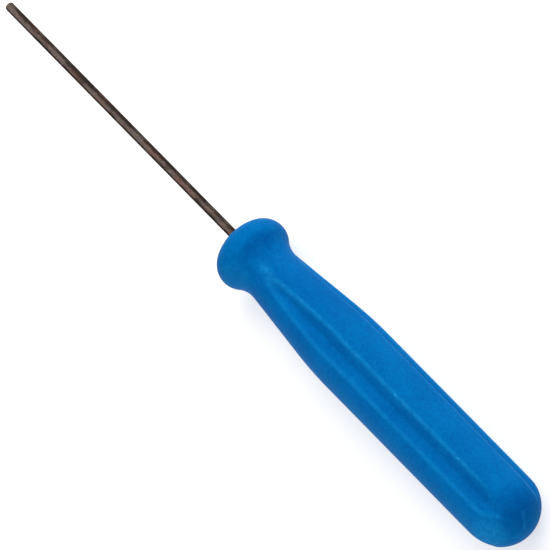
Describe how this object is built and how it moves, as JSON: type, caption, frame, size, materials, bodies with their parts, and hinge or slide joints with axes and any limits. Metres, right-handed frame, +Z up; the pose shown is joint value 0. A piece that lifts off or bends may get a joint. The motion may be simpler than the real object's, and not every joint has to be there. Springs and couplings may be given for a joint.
{
  "type": "watchmaker hex screwdriver",
  "caption": "Small fixed hex driver: a straight blackened hexagon bar moulded into a blue fluted plastic handle with a collar bead and a round butt, for fine socket screws.",
  "frame": {"origin": "on the bench, under the middle of the tool's length as it lies on its side", "axes": "+X along the tool from the tip to the butt, +Y across it, +Z up from the bench towards one of the flutes"},
  "size_m": [0.1456, 0.0142, 0.0143],
  "materials": {
    "blue_plastic": "satin moulded, slightly mottled",
    "black_steel": "black oxide with a brown cast, worn lighter at the tip and corners"
  },
  "bodies": {
    "root": {"handle": "blue_plastic", "blade": "black_steel"}
  },
  "joints": []
}
